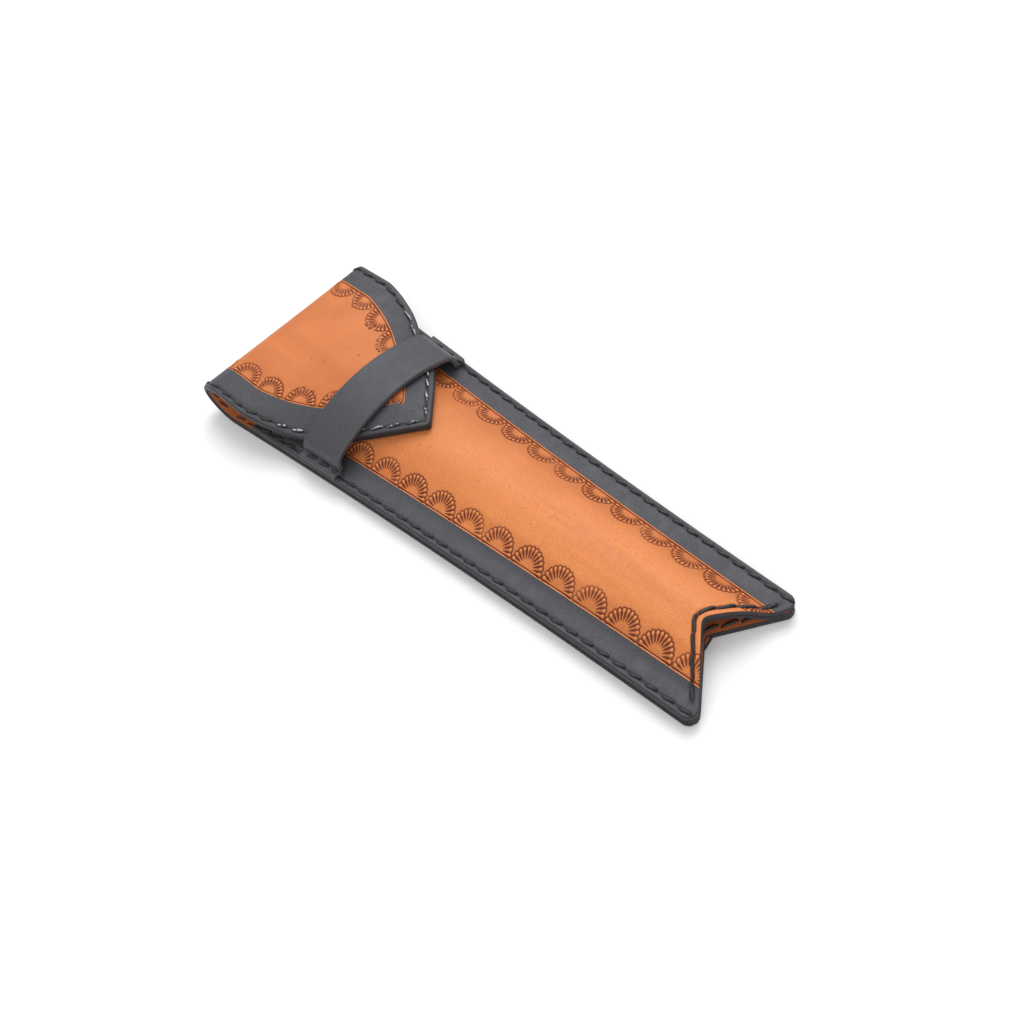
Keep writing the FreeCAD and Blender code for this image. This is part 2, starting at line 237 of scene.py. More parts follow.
# The flap in plan: two arcs on each side, from the straight root to the rounded point
SHOULDER_Y = float(side_y(SHOULDER_X)) - SHOULDER_INSET
CHEEK_AT, CHEEK_R = circle_through(
    (MOUTH_X, HEAD_HALF), (CHEEK_X, HEAD_HALF - CHEEK_INSET), (SHOULDER_X, SHOULDER_Y)
)
RUN = np.array([POINT_X - SHOULDER_X, -SHOULDER_Y])
OUTWARD = np.array([SHOULDER_Y, RUN[0]]) / np.linalg.norm(RUN)
BOW = np.array([(SHOULDER_X + POINT_X) / 2, SHOULDER_Y / 2]) + OUTWARD * FLAP_BULGE
ARM_AT, ARM_R = circle_through((SHOULDER_X, SHOULDER_Y), BOW, (POINT_X, 0.0))
POINT_AT = ARM_AT[0] + math.sqrt((ARM_R - FLAP_TIP_RADIUS) ** 2 - ARM_AT[1] ** 2)
POINT_END = POINT_AT + FLAP_TIP_RADIUS
POINT_START = POINT_AT + FLAP_TIP_RADIUS * (POINT_AT - ARM_AT[0]) / (ARM_R - FLAP_TIP_RADIUS)


def bearing(centre, x, y):
    """Angle about a centre, from +Y towards +X."""
    return np.arctan2(x - centre[0], y - centre[1])


CHEEK_START = bearing(CHEEK_AT, MOUTH_X, HEAD_HALF)
CHEEK_END = bearing(CHEEK_AT, SHOULDER_X, SHOULDER_Y)
ARM_START = bearing(ARM_AT, SHOULDER_X, SHOULDER_Y)


def flap_half(x):
    """Half width of the flap at x."""
    cheek = CHEEK_AT[1] + np.sqrt(np.maximum(CHEEK_R**2 - (x - CHEEK_AT[0]) ** 2, 0))
    arm = ARM_AT[1] + np.sqrt(np.maximum(ARM_R**2 - (x - ARM_AT[0]) ** 2, 0))
    tip = np.sqrt(np.maximum(FLAP_TIP_RADIUS**2 - (x - POINT_AT) ** 2, 0))
    half = np.where(x > MOUTH_X, cheek, HEAD_HALF)
    half = np.where(x > SHOULDER_X, arm, half)
    return np.where(x > POINT_START, tip, half)


def flap_edge(x, y):
    """Distance in from the edge of the flap, and the length along its dye line from the fold."""
    y = np.abs(y)
    turn = bearing(CHEEK_AT, x, y)
    cheek = np.where(turn < CHEEK_END, CHEEK_R - np.hypot(x - CHEEK_AT[0], y - CHEEK_AT[1]), FAR)
    arm = ARM_R - np.hypot(x - ARM_AT[0], y - ARM_AT[1])
    tip = np.where(x > POINT_START, FLAP_TIP_RADIUS - np.hypot(x - POINT_AT, y), FAR)
    gap = np.minimum(np.minimum(HEAD_HALF - y, cheek), np.minimum(arm, tip))
    cheek_run = CHEEK_R - FLAP_BORDER
    along_cheek = MOUTH_X - FOLD_X + (turn - CHEEK_START) * cheek_run
    along_arm = (bearing(ARM_AT, x, y) - ARM_START) * (ARM_R - FLAP_BORDER)
    along_arm = along_arm + MOUTH_X - FOLD_X + (CHEEK_END - CHEEK_START) * cheek_run
    along = np.where(turn < CHEEK_START, x - FOLD_X, along_cheek)
    return gap, np.where(turn < CHEEK_END, along, along_arm)


def border_at(y, border):
    """Width of the dyed border, which is wider on the -Y side."""
    return border - TAN_SHIFT * np.sign(y)


FLAP_DROP = FLAP_BOTTOM - BORDER_TOP - FLAP_GAP
FLAP_ARCH = (float(flap_half(STRAP_HEAD_X)) ** 2 + FLAP_DROP**2) / (2 * FLAP_DROP)
STRAP_CROWN = FLAP_ARCH + PANEL + STRAP_EASE


def flap_z(x, y, lift):
    """Height of the flap, flat at the fold and arched from the keeper to the point.

    Past the keeper the arch grows ever more slowly, from the rate that it has there.
    """
    t = np.maximum((x - FOLD_X) / (STRAP_HEAD_X - FOLD_X), ARCH_LEAST)
    eased = 1 + ARCH_EASE * (1 - np.exp(-2 * (np.maximum(t, 1) - 1) / ARCH_EASE))
    r = FLAP_ARCH / np.where(t <= 1, t**2, eased) + lift
    return FLAP_BOTTOM + lift - (r - np.sqrt(r**2 - y**2))


def spread(x, y, half, share=1.0):
    """How far the +Y side of the flap stands out past its even shape, less where the keeper holds it."""
    held = 1 - SPREAD_DIP * np.exp(-(((x - STRAP_HEAD_X) / SPREAD_DIP_WIDTH) ** 2))
    held = held * (FOLD_SPREAD + (1 - FOLD_SPREAD) * smooth(FOLD_X, CHEEK_X, x))
    return FLAP_SPREAD * share * held * smooth(0, SPREAD_FROM, half) * (np.maximum(y, 0) / half) ** 3


def front_z(x, y, offset):
    """Height of the domed front: flat margin, hollow and crown, raised square to the ceiling."""
    y = np.abs(y)
    rise = side_y(x) - MARGIN
    both = (rise**2 + POCKET_HEIGHT**2) / (2 * POCKET_HEIGHT)
    hollow = HOLLOW_SHARE * both
    crown = both - hollow
    join = rise - rise / both * (hollow - offset)
    bend = np.maximum((hollow - offset) ** 2 - (rise - y) ** 2, 0)
    dome = np.maximum((crown + offset) ** 2 - y**2, 0)
    low = CEILING + hollow - np.sqrt(bend)
    high = CEILING + POCKET_HEIGHT - crown + np.sqrt(dome)
    return np.where(y >= rise, CEILING + offset, np.where(y > join, low, high))


# The forked tail: one arm of the notch on each side, with a rounded root and rounded tips
ARM_DIR = np.array([NOTCH_DEPTH, TAIL_HALF]) / math.hypot(NOTCH_DEPTH, TAIL_HALF)
ARM_IN = np.array([-ARM_DIR[1], ARM_DIR[0]])
ROOT_AT = np.array([NOTCH_X + NOTCH_RADIUS / ARM_DIR[1], 0.0])


def tip_centre():
    """Centre of the rounded tip, a tip radius in from the side and from the arm of the notch."""
    x = TAIL_X - 2 * TIP_RADIUS
    for _ in range(TIP_ROUNDS):
        y = float(side_y(x)) - TIP_RADIUS
        gap = (x - NOTCH_X) * ARM_IN[0] + y * ARM_IN[1]
        x += (gap - TIP_RADIUS) / ARM_DIR[1]
    return np.array([x, float(side_y(x)) - TIP_RADIUS])


TIP_AT = tip_centre()


def tail_x(y):
    """Where the tail edge is, at a distance from the centre line."""
    y = np.abs(y)
    line = NOTCH_X + y * NOTCH_DEPTH / TAIL_HALF
    root_half = NOTCH_RADIUS * ARM_DIR[0]
    root = ROOT_AT[0] - np.sqrt(np.maximum(NOTCH_RADIUS**2 - y**2, 0))
    tip_start = TIP_AT[1] - TIP_RADIUS * ARM_IN[1]
    tip = TIP_AT[0] + np.sqrt(np.maximum(TIP_RADIUS**2 - (y - TIP_AT[1]) ** 2, 0))
    return np.where(y < root_half, root, np.where(y > tip_start, tip, line))


def notch_gap(x, y):
    """Distance in from the notch and the rounded tips."""
    y = np.abs(y)
    line = (x - NOTCH_X) * ARM_IN[0] + y * ARM_IN[1]
    root = np.hypot(x - ROOT_AT[0], y) - NOTCH_RADIUS
    near_root = (y - ROOT_AT[1]) * ARM_DIR[1] + (x - ROOT_AT[0]) * ARM_DIR[0] < 0
    tip = TIP_RADIUS - np.hypot(x - TIP_AT[0], y - TIP_AT[1])
    past = ((x - TIP_AT[0]) * ARM_DIR[0] + (y - TIP_AT[1]) * ARM_DIR[1] > 0) & (x > TIP_AT[0])
    return np.where(past, tip, np.where(near_root, root, line))


def press(number, s, first, pitch):
    """How well a shell is pressed, which differs from shell to shell and across each one."""
    whole = 1 - PRESS_FALL * (0.5 + 0.5 * np.sin(PRESS_FALL_TURN * number + first))
    tilt = PRESS_TILT * np.sin(PRESS_TILT_TURN * number + pitch) * s / pitch
    return np.minimum(whole + tilt, 1)


def shells(along, inward, first, pitch):
    """Depth, up to 1, of a row of shell stamps: ribs that end in knobs, in a scalloped rim.

    The bead in each knob stands up, so its depth is below 0.
    """
    s = (along - first + pitch / 2) % pitch - pitch / 2
    up = inward - SHELL_FOOT
    rho = np.hypot(s, up)
    step = (math.pi - 2 * SHELL_FIRST_RIB) / (SHELL_RIBS - 1)
    place = (np.arctan2(up, s) - SHELL_FIRST_RIB) / step
    place = np.where(place < -SHELL_RIBS / 2, place + 2 * math.pi / step, place)
    off = place - np.clip(np.round(place), 0, SHELL_RIBS - 1)
    inside = np.abs(off) <= 0.5
    aside = off * step * rho
    beyond = rho - SHELL_KNOB
    from_knob = np.hypot(aside, beyond)
    rim = np.exp(-(((from_knob - SHELL_LOBE) / SHELL_RIM) ** 2))
    rim = rim * np.where(inside, smooth(-SHELL_RIM_FADE, 0.0, beyond), 1.0)
    rib = SHELL_RIB_HALF + SHELL_KNOB_SWELL * np.exp(-((beyond / SHELL_KNOB_LENGTH) ** 2))
    groove = smooth(*SHELL_WALL, np.abs(aside) - rib) * smooth(*SHELL_RIB_START, rho)
    groove = groove * (1 - smooth(*SHELL_GROOVE_END, beyond)) * inside
    bead = np.exp(-((from_knob / SHELL_BEAD) ** 2)) * inside
    depth = np.maximum(rim, groove) - SHELL_BEAD_RISE * bead * (1 - rim)
    return press(np.round((along - first) / pitch), s, first, pitch) * depth


def knife(gap, border):
    """Depth, up to 1, of the line cut just inside the dye, and the lip between them."""
    cut = np.exp(-(((gap - border - KNIFE_SET) / KNIFE_WIDTH) ** 2))
    return cut - LIP_SHARE * np.exp(-(((gap - border - LIP_SET) / KNIFE_WIDTH) ** 2))


def round_over(gap, radius=EDGE_ROUND):
    """How far a rounded edge falls away at a distance in from it."""
    inset = np.clip(radius - gap, 0, radius)
    return radius - np.sqrt(np.maximum(radius**2 - inset**2, 0))


def seam_groove(gap):
    """Depth of the groove that a seam lies in, at a distance in from the edge."""
    return SEAM_GROOVE * np.exp(-(((gap - SEAM_INSET) / SEAM_GROOVE_WIDTH) ** 2))


def tooling(gap, depth, field, border):
    """How far the worked face lies below plain leather: rounded edge, seam, stamps, knife line."""
    return round_over(gap) + seam_groove(gap) + STAMP_DEPTH * depth + KNIFE_DEPTH * knife(field, border)


def steps(*runs):
    """Positions from 0 on: each run is an end and a spacing."""
    found = [0.0]
    for end, spacing in runs:
        count = max(1, round((end - found[-1]) / spacing))
        start = found[-1]
        found += [start + (end - start) * (i + 1) / count for i in range(count)]
    return np.array(found)


def fine_ends(length, first, last, spacing):
    """Positions along a length, with close ones at its first and last ends."""
    body = steps((length - 2 * last[-1], spacing))
    return np.concatenate([first[:-1], last[-1] + body, length - last[::-1][1:]])


# Each run of points in from an edge: where it ends, and its spacing
EDGE_STEPS = [(0.02, 0.02), (0.06, 0.04), (0.3, 0.08), (0.6, 0.15), (2.0, 0.2)]
STRAP_EDGE_STEPS = [(0.02, 0.02), (0.4, 0.08), (1.0, 0.2)]
STRAP_STEP = 0.5


def make_object(name, points, faces, attributes, material):
    """A smooth mesh object, in metres, with named values on its points."""
    mesh = bpy.data.meshes.new(name)
    mesh.from_pydata((np.asarray(points) * MM).tolist(), [], faces)
    for key, values in attributes.items():
        layer = mesh.attributes.new(key, "FLOAT", "POINT")
        layer.data.foreach_set("value", np.asarray(values, np.float32))
    mesh.polygons.foreach_set("use_smooth", [True] * len(mesh.polygons))
    mesh.materials.append(material)
    mesh.update()
    made = bpy.data.objects.new(name, mesh)
    bpy.context.scene.collection.objects.link(made)
    return made


def quads(index, flip):
    """The four-sided faces of a grid of point numbers."""
    a, b, c, d = index[:-1, :-1], index[1:, :-1], index[1:, 1:], index[:-1, 1:]
    order = (a, d, c, b) if flip else (a, b, c, d)
    return np.stack(order, -1).reshape(-1, 4).tolist()


def loop_of(index):
    """The rim of a grid of point numbers, in order."""
    return np.concatenate([index[:-1, 0], index[-1, :-1], index[:0:-1, -1], index[0, :0:-1]])


def thinned(count, every):
    """Every few of a count of rows, with the last one."""
    return np.array(list(range(0, count - 1, every)) + [count - 1])


def closed_sheet(name, face, back, attributes, material, flip=False, thin=FACE_THIN):
    """A sheet of leather: a fine face, a coarser back from the same grid, and a wall between them."""
    rows, columns = face.shape[:2]
    keep_r, keep_c = thinned(rows, thin), thinned(columns, thin)
    top = np.arange(rows * columns).reshape(rows, columns)
    low = top.size + np.arange(len(keep_r) * len(keep_c)).reshape(len(keep_r), len(keep_c))
    points = np.concatenate([face.reshape(-1, 3), back[np.ix_(keep_r, keep_c)].reshape(-1, 3)])
    faces = quads(top, flip) + quads(low, not flip)
    upper, lower = loop_of(top).tolist(), loop_of(low).tolist()
    partner = loop_of(top[np.ix_(keep_r, keep_c)]).tolist()
    place = {v: i for i, v in enumerate(upper)}
    total = len(upper)
    for i, (here, ahead) in enumerate(zip(lower, lower[1:] + lower[:1])):
        first = place[partner[i]]
        last = place[partner[(i + 1) % len(partner)]]
        count = (last - first) % total
        ring = [upper[(first + j) % total] for j in range(count + 1)]
        wall = [[p, q, here] for p, q in zip(ring, ring[1:])] + [[ring[-1], ahead, here]]
        faces += [w if flip else w[::-1] for w in wall]
    full = {}
    for key, grid in attributes.items():
        full[key] = np.concatenate([grid.ravel(), grid[np.ix_(keep_r, keep_c)].ravel()])
    return make_object(name, points, faces, full, material)


def gap_steps(border, fine):
    """Distances in from an edge: close at the edge, the seam, the knife line and the stamps."""
    to_line = (border - LINE_BEFORE, BORDER_STEP)
    past_line = (border + LINE_AFTER, LINE_STEP)
    return steps(*EDGE_STEPS, to_line, past_line, (border + STAMP_BAND, fine))


def across(half, border, inner_columns, fine):
    """Lines across a panel of given half widths: by distance from its edges, then by share."""
    left = half[:, None] - gap_steps(border - TAN_SHIFT, fine)[None, :]
    right = gap_steps(border + TAN_SHIFT, fine)[None, :] - half[:, None]
    share = np.linspace(0, 1, inner_columns + 2)[None, 1:-1]
    inner = right[:, -1:] + (left[:, -1:] - right[:, -1:]) * share
    return np.concatenate([right, inner, left[:, ::-1]], axis=1)


def case_grid(head_x, fine, head_round=True):
    """Plan points of a layer of the case, with rows that follow the forked tail."""
    length = TAIL_X - head_x
    ends = steps(*EDGE_STEPS)
    first = ends if head_round else steps((TIGHT, TIGHT), (ends[-1], fine))
    along = fine_ends(length, first, ends, fine) / length

    def lines(x):
        return across(side_y(x), BORDER, INNER_COLUMNS, fine)

    columns = lines(np.array([head_x])).shape[1]
    tail = np.full(columns, NOTCH_X)
    for _ in range(TAIL_ROUNDS):
        tail = tail_x(np.diagonal(lines(tail)))
    x = head_x + along[:, None] * (tail - head_x)[None, :]
    y = np.stack([lines(x[:, j])[:, j] for j in range(columns)], 1)
    return x, y


def stack(x, y, z):
    """Points from their coordinates, which may be grids, rows or single numbers."""
    return np.stack(np.broadcast_arrays(x, y, z), -1).astype(float)


def paint(past_line, edge, depth, seam=FAR):
    """What the leather's material reads: distance past the dye line, stamped depth, black paint, wear
    with a painted sheen.
    """
    at_seam = np.exp(-(((seam - SEAM_INSET) / SEAM_PAINT) ** 2))
    black = np.maximum(1 - smooth(*EDGE_PAINT, edge), at_seam)
    return {"dye": past_line, "stamp": depth, "paint": black, "worn": 0 * depth}


# Materials


class Graph:
    """Short names for the nodes that the materials share."""

    def __init__(self, tree):
        self.tree = tree
        self.place = self.node("ShaderNodeTexCoord").outputs["Object"]

    def node(self, kind, **settings):
        made = self.tree.nodes.new(kind)
        for key, value in settings.items():
            setattr(made, key, value)
        return made

    def link(self, source, target):
        self.tree.links.new(source, target)

    def noise(self, scale, detail=3.0, rough=0.55, stretch=None):
        made = self.node("ShaderNodeTexNoise")
        made.inputs["Scale"].default_value = scale
        made.inputs["Detail"].default_value = detail
        made.inputs["Roughness"].default_value = rough
        place = self.place
        if stretch:
            mapping = self.node("ShaderNodeMapping")
            mapping.inputs["Scale"].default_value = stretch
            self.link(place, mapping.inputs["Vector"])
            place = mapping.outputs["Vector"]
        self.link(place, made.inputs["Vector"])
        return made.outputs["Fac"]

    def cells(self, scale):
        made = self.node("ShaderNodeTexVoronoi", feature="DISTANCE_TO_EDGE")
        made.inputs["Scale"].default_value = scale
        self.link(self.place, made.inputs["Vector"])
        return made.outputs["Distance"]

    def value(self, name):
        return self.node("ShaderNodeAttribute", attribute_name=name).outputs["Fac"]

    def math(self, kind, a, b):
        made = self.node("ShaderNodeMath", operation=kind)
        for socket, given in zip(made.inputs, (a, b)):
            if isinstance(given, (int, float)):
                socket.default_value = given
            else:
                self.link(given, socket)
        return made.outputs[0]

    def distance(self, source, place):
        return self.math("ABSOLUTE", self.math("SUBTRACT", source, place), 0.0)

    def ramp(self, source, low, high, start=0.0, end=1.0):
        made = self.node("ShaderNodeMapRange", interpolation_type="SMOOTHSTEP")
        for key, given in zip(("From Min", "From Max", "To Min", "To Max"), (low, high, start, end)):
            made.inputs[key].default_value = given
        self.link(source, made.inputs["Value"])
        return made.outputs[0]

    def mix(self, share, a, b):
        made = self.node("ShaderNodeMix", data_type="RGBA")
        if isinstance(share, float):
            made.inputs[0].default_value = share
        else:
            self.link(share, made.inputs[0])
        for socket, given in zip((made.inputs[6], made.inputs[7]), (a, b)):
            if isinstance(given, tuple):
                socket.default_value = (*given, 1)
            else:
                self.link(given, socket)
        return made.outputs[2]

    def bump(self, height, distance, strength, before=None):
        made = self.node("ShaderNodeBump")
        made.inputs["Distance"].default_value = distance
        made.inputs["Strength"].default_value = strength
        self.link(height, made.inputs["Height"])
        if before is not None:
            self.link(before, made.inputs["Normal"])
        return made.outputs["Normal"]


def new_material(name):
    """A material, with short names for its nodes, and its shader."""
    made = bpy.data.materials.new(name)
    made.use_nodes = True
    tree = made.node_tree
    return made, Graph(tree), tree.nodes["Principled BSDF"]


TAN = (0.595, 0.182, 0.050)
TAN_DEEP = (0.46, 0.125, 0.029)
TAN_PALE = (0.76, 0.275, 0.088)
STAMPED = (0.145, 0.024, 0.007)
CHARCOAL = (0.066, 0.068, 0.077)
CHARCOAL_DEEP = (0.042, 0.043, 0.050)
PAINT = (0.022, 0.022, 0.026)
LINING_TAN = (0.46, 0.138, 0.042)
LINING_DEEP = (0.34, 0.088, 0.025)
LINING_NAP = (0.24, 0.06, 0.017)
STRAP_TONE = (0.054, 0.056, 0.063)
STRAP_DEEP = (0.034, 0.035, 0.041)
STRAP_CLOUD = (0.074, 0.076, 0.084)
STRAP_EDGE = (0.13, 0.13, 0.14)
THREAD_TONE = (0.020, 0.019, 0.020)
THREAD_DEEP = (0.008, 0.008, 0.009)
# Pale wax with a painted glint, for the crests of some stitches
WAX_AND_GLINT_TONE = (0.60, 0.60, 0.60)
FLOOR_TONE = (0.88, 0.88, 0.88)
FLOOR_COOL = (0.86, 0.86, 0.865)
DYE_BLEED = 0.16


def tan_tone(g):
    """Tan with clouds, pale streaks, a worn band with a painted sheen, drag marks, pores and specks."""
    clouds = g.ramp(g.noise(38.0, 4.0, 0.6), 0.36, 0.66)
    streaks = g.ramp(g.noise(26.0, 3.0, 0.5, (0.35, 1.4, 1.0)), 0.42, 0.72)
    # Pale streaks, and the crown's worn band with its painted sheen
    worn = g.math("ADD", g.math("MULTIPLY", streaks, 0.4), g.value("worn"))
    tan = g.mix(worn, g.mix(clouds, TAN_DEEP, TAN), TAN_PALE)
    drag = g.ramp(g.noise(110.0, 3.0, 0.6, (0.1, 1.0, 1.0)), 0.44, 0.66, 0.0, 0.42)
    tan = g.mix(drag, tan, TAN_DEEP)
    pores = g.ramp(g.noise(3000.0, 2.0, 0.65), 0.3, 0.62)
    tan = g.mix(g.math("MULTIPLY", g.math("SUBTRACT", 1.0, pores), 0.6), tan, TAN_DEEP)
    specks = g.ramp(g.noise(900.0, 0.0, 0.5), 0.83, 0.86)
    return g.mix(g.math("MULTIPLY", specks, 0.55), tan, STAMPED)


def stamped_tone(g, tan, dye):
    """The tan, dark in the stamps and the knife line, pale on the beads, and with a painted highlight on
    the lip.
    """
    stamp = g.value("stamp")
    tan = g.mix(g.ramp(stamp, 0.08, 0.7, 0.0, 0.97), tan, STAMPED)
    tan = g.mix(g.ramp(g.math("MULTIPLY", stamp, -1.0), 0.05, 0.35, 0.0, 0.75), tan, TAN_PALE)
    # Painted highlight on the raised lip between the dye and the knife line
    tan = g.mix(g.ramp(g.distance(dye, LIP_SET), 0.04, 0.17, 0.45, 0.0), tan, TAN_PALE)
    return g.mix(g.ramp(g.distance(dye, KNIFE_SET), 0.08, 0.24, 0.95, 0.0), tan, STAMPED)


def painted(g, tone):
    """A tone with the black paint of the edges and seams over it."""
    return g.mix(g.ramp(g.value("paint"), 0.45, 0.6), tone, PAINT)


def tooled_leather():
    """Tan leather with dark stamps, dyed charcoal outside the knife line, with painted edges."""
    made, g, shader = new_material("tooled_leather")
    bleed = g.math("MULTIPLY", g.math("SUBTRACT", g.noise(420.0), 0.5), DYE_BLEED)
    dye = g.math("ADD", g.value("dye"), bleed)
    tan = stamped_tone(g, tan_tone(g), dye)
    dark = g.mix(g.ramp(g.noise(2400.0, 3.0, 0.7), 0.35, 0.68), CHARCOAL_DEEP, CHARCOAL)
    dyed = g.mix(g.ramp(dye, -0.05, 0.06), dark, tan)
    g.link(painted(g, dyed), shader.inputs["Base Color"])
    g.link(g.ramp(g.noise(300.0), 0.3, 0.7, 0.46, 0.60), shader.inputs["Roughness"])
    shader.inputs["Specular IOR Level"].default_value = 0.33
    rough = g.bump(g.cells(1500.0), 0.00008, 0.35)
    g.link(g.bump(g.noise(2400.0, 3.0, 0.6), 0.00008, 0.75, rough), shader.inputs["Normal"])
    return made


def lining_leather():
    """Orange-brown lining with a faint nap and painted edges."""
    made, g, shader = new_material("lining_leather")
    tone = g.mix(g.ramp(g.noise(60.0, 4.0, 0.6), 0.35, 0.65), LINING_DEEP, LINING_TAN)
    tone = g.mix(g.ramp(g.noise(1400.0, 2.0), 0.55, 0.75, 0.0, 0.35), tone, LINING_NAP)
    g.link(painted(g, tone), shader.inputs["Base Color"])
    shader.inputs["Roughness"].default_value = 0.72
    shader.inputs["Specular IOR Level"].default_value = 0.3
    g.link(g.bump(g.noise(1600.0, 4.0, 0.7), 0.0001, 0.6), shader.inputs["Normal"])
    return made


def black_leather():
    """Charcoal strap leather, with a fine grain and paler cut edges."""
    made, g, shader = new_material("black_leather")
    tone = g.mix(g.ramp(g.noise(2400.0, 3.0, 0.7), 0.35, 0.7), STRAP_DEEP, STRAP_TONE)
    tone = g.mix(g.ramp(g.noise(55.0), 0.4, 0.7, 0.0, 0.25), tone, STRAP_CLOUD)
    tone = g.mix(g.ramp(g.value("paint"), 0.35, 0.7, 0.0, 0.5), tone, STRAP_EDGE)
    g.link(tone, shader.inputs["Base Color"])
    g.link(g.ramp(g.noise(260.0), 0.3, 0.7, 0.44, 0.58), shader.inputs["Roughness"])
    shader.inputs["Specular IOR Level"].default_value = 0.45
    rough = g.bump(g.cells(1700.0), 0.00008, 0.35)
    g.link(g.bump(g.noise(2100.0, 3.0, 0.6), 0.00006, 0.5, rough), shader.inputs["Normal"])
    return made


def waxed_thread():
    """Black waxed thread with a soft shine, and pale wax with a painted glint on the upper crests of some
    stitches.
    """
    made, g, shader = new_material("waxed_thread")
    tone = g.mix(g.ramp(g.noise(700.0), 0.4, 0.7), THREAD_DEEP, THREAD_TONE)
    # Pale wax and a painted glint on the crests of the chosen stitches
    wax_and_glint = g.math("MULTIPLY", g.value("wax_and_glint"), g.ramp(g.noise(1300.0), 0.42, 0.56))
    g.link(g.mix(wax_and_glint, tone, WAX_AND_GLINT_TONE), shader.inputs["Base Color"])
    g.link(g.ramp(g.noise(900.0), 0.35, 0.7, 0.42, 0.62), shader.inputs["Roughness"])
    g.link(g.bump(g.noise(3200.0, 2.0), 0.00005, 0.5), shader.inputs["Normal"])
    return made


def pale_floor():
    """Matt, nearly white floor."""
    made, g, shader = new_material("pale_floor")
    g.link(g.mix(g.noise(3.0), FLOOR_COOL, FLOOR_TONE), shader.inputs["Base Color"])
    shader.inputs["Roughness"].default_value = 0.9
    shader.inputs["Specular IOR Level"].default_value = 0.1
    return made


TOOLED = tooled_leather()
LINED = lining_leather()
BLACK = black_leather()
WAXED = waxed_thread()


def finish_piece(piece, body, slot, *nodes):
    """Say what a piece moves with and which solids it stands for. Its slot is not used."""
    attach(piece, body)
    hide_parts(*nodes)


# Leather pieces

# Each row of shells: where a shell has its middle, and the pitch, on the +Y and the -Y side
FRONT_ROWS = {1: (-23.5, 10.09), -1: (-22.67, 10.0)}
FLAP_ROWS = {1: (0.3, 10.0), -1: (2.4, 10.9)}


def rows_of_shells(rows, along, inward, y):
    """Depth of the stamps of both sides."""
    left = shells(along, inward, *rows[1])
    right = shells(along, inward, *rows[-1])
    return np.where(y > 0, left, right)


def notch_groove(notch, side):
    """Depth, up to 1, of the groove that the front's tail row lies in."""
    groove = np.exp(-(((notch - NOTCH_INSET) / NOTCH_GROOVE_WIDTH) ** 2))
    return groove * (side > NOTCH_INSET + NOTCH_SIDE_CLEAR)


def front_leather():
    """The outer leather of the domed front, stamped along both borders."""
    x, y = case_grid(MOUTH_X, FINE)
    side = side_gap(x, y)
    notch = notch_gap(x, y)
    border = border_at(y, BORDER)
    edge = np.minimum(np.minimum(side, notch), x - MOUTH_X)
    depth = rows_of_shells(FRONT_ROWS, x, side - border, y)
    groove = notch_groove(notch, side)
    depth = np.where(groove > NOTCH_GROOVE_LEAST, np.maximum(depth, groove), depth)
    z = front_z(x, y, PANEL) - round_over(edge) - seam_groove(side) - STAMP_DEPTH * depth
    z -= KNIFE_DEPTH * knife(side, border)
    under = front_z(x, y, LINING + GLUE)
    values = paint(side - border, edge, depth, side)
    # Paler band along the crown of the dome: wear, and a painted sheen
    values["worn"] = WEAR_AND_SHEEN_SHARE * np.exp(-((y / WEAR_AND_SHEEN_WIDTH) ** 2))
    made = closed_sheet("front_leather", stack(x, y, z), stack(x, y, under), values, TOOLED)
    finish_piece(made, "sleeve", "tooled_leather", "front_panel")


def back_leather():
    """The outer leather of the back, which lies on the table."""
    x, y = case_grid(FOLD_X, BACK_STEP, head_round=False)
    side = side_gap(x, y)
    border = border_at(y, BORDER)
    edge = np.minimum(side, notch_gap(x, y))
    z = round_over(edge) + seam_groove(side) + KNIFE_DEPTH * knife(side, border)
    values = paint(side - border, edge, 0 * side, side)
    made = closed_sheet("back_leather", stack(x, y, z), stack(x, y, OUTER), values, TOOLED, flip=True)
    finish_piece(made, "sleeve", "tooled_leather", "back_panel")


def drawn_in(y, edge):
    """Places across a lining, drawn in a little from the edge of the leather."""
    return y - np.sign(y) * LINING_INSET * (1 - smooth(0, LINING_EASE, edge))


def front_at(offset):
    """Heights of the front, raised square from its underside."""
    return lambda x, y: front_z(x, y, offset)


def flap_at(lift):
    """Heights of the flap, raised from its underside."""
    return lambda x, y: flap_z(x, y, lift)


def level(height):
    """The same height all over."""
    return lambda x, y: 0 * x + height


def case_lining(name, node, head_x, low, high):
    """The lining of the front or the back, between two heights."""
    x, y = case_grid(head_x, COARSE, head_round=False)
    edge = np.minimum(side_gap(x, y), notch_gap(x, y))
    values = paint(edge, edge, 0 * edge)
    y = drawn_in(y, edge)
    top = high(x, y) - round_over(edge, LINING_ROUND)
    made = closed_sheet(name, stack(x, y, top), stack(x, y, low(x, y)), values, LINED, thin=1)
    finish_piece(made, "sleeve", "lining_leather", node)


def flap_grid(fine):
    """Plan points of the flap, with rows across it and columns that follow its edge."""
    ends = steps(*EDGE_STEPS)
    rows = FOLD_X + steps((TIGHT, TIGHT), (POINT_END - FOLD_X - ends[-1], fine))
    rows = np.concatenate([rows, POINT_END - ends[::-1][1:-1], [POINT_END - POINT_CUT]])
    columns = across(np.array([HEAD_HALF]), FLAP_BORDER, FLAP_COLUMNS, fine)[0] / HEAD_HALF
    x = np.repeat(rows[:, None], len(columns), 1)
    return x, flap_half(x) * columns[None, :]


